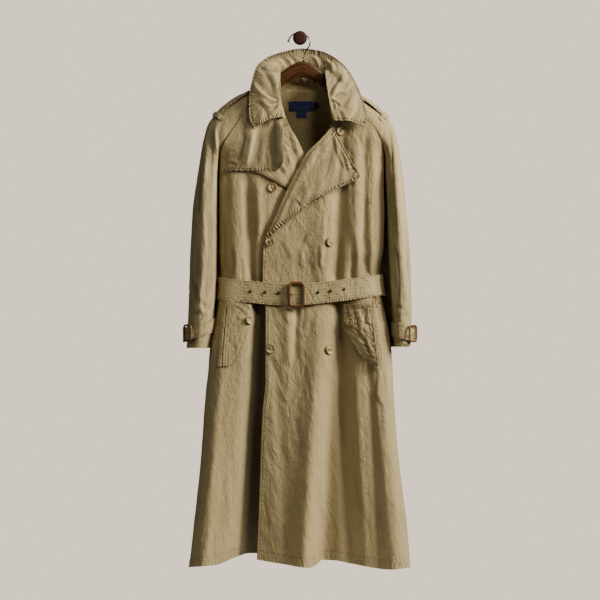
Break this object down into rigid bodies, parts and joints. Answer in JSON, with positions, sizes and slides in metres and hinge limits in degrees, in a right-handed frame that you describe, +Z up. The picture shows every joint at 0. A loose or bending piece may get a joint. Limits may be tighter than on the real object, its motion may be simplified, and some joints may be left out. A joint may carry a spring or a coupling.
{
  "type": "trench coat on a hanger and wall knob",
  "caption": "Double-breasted belted raglan trench coat hanging closed on a wooden hanger, its wire hook over a turned wall knob.",
  "frame": {"origin": "centre of the wall knob's flat back, on the wall", "axes": "+Z up, +X to the viewer's right as seen from the front, +Y into the wall, so the coat hangs at negative Y"},
  "size_m": [0.6158, 0.148, 1.4474],
  "materials": {
    "khaki_cotton": "matt washed cotton twill, lightly creased",
    "navy_label": "plain woven navy tape",
    "tan_leather": "smooth tan leather over a metal frame",
    "brass": "dull brass",
    "horn": "polished mottled horn",
    "hanger_wood": "varnished warm brown wood",
    "knob_wood": "dark turned wood, satin",
    "polished_steel": "polished wire"
  },
  "bodies": {
    "root": {"back": "khaki_cotton", "front_left": "khaki_cotton", "front_right": "khaki_cotton", "sleeve_left": "khaki_cotton", "sleeve_right": "khaki_cotton", "collar": "khaki_cotton", "lapel_left": "khaki_cotton", "lapel_right": "khaki_cotton", "storm_flap": "khaki_cotton", "epaulette_left": "khaki_cotton", "epaulette_right": "khaki_cotton", "epaulette_keeper_left": "khaki_cotton", "epaulette_keeper_right": "khaki_cotton", "belt": "khaki_cotton", "belt_end": "khaki_cotton", "pocket_flap_left": "khaki_cotton", "pocket_flap_right": "khaki_cotton", "pocket_welt_left": "khaki_cotton", "pocket_welt_right": "khaki_cotton", "cuff_strap_left": "khaki_cotton", "cuff_strap_right": "khaki_cotton", "cuff_keeper_left": "khaki_cotton", "cuff_keeper_right": "khaki_cotton", "neck_label": "navy_label", "size_tab": "navy_label", "belt_buckle": "tan_leather", "cuff_buckle_left": "tan_leather", "cuff_buckle_right": "tan_leather", "buckle_prong": "brass", "d_ring": "brass", "button_top_right": "horn", "button_lapel": "horn", "button_chest_right": "horn", "button_low_left": "horn", "button_low_right": "horn", "button_top_left": "horn", "button_pocket_left": "horn", "button_pocket_right": "horn", "hanger": "hanger_wood", "wall_knob": "knob_wood", "hanger_hook": "polished_steel"}
  },
  "joints": []
}
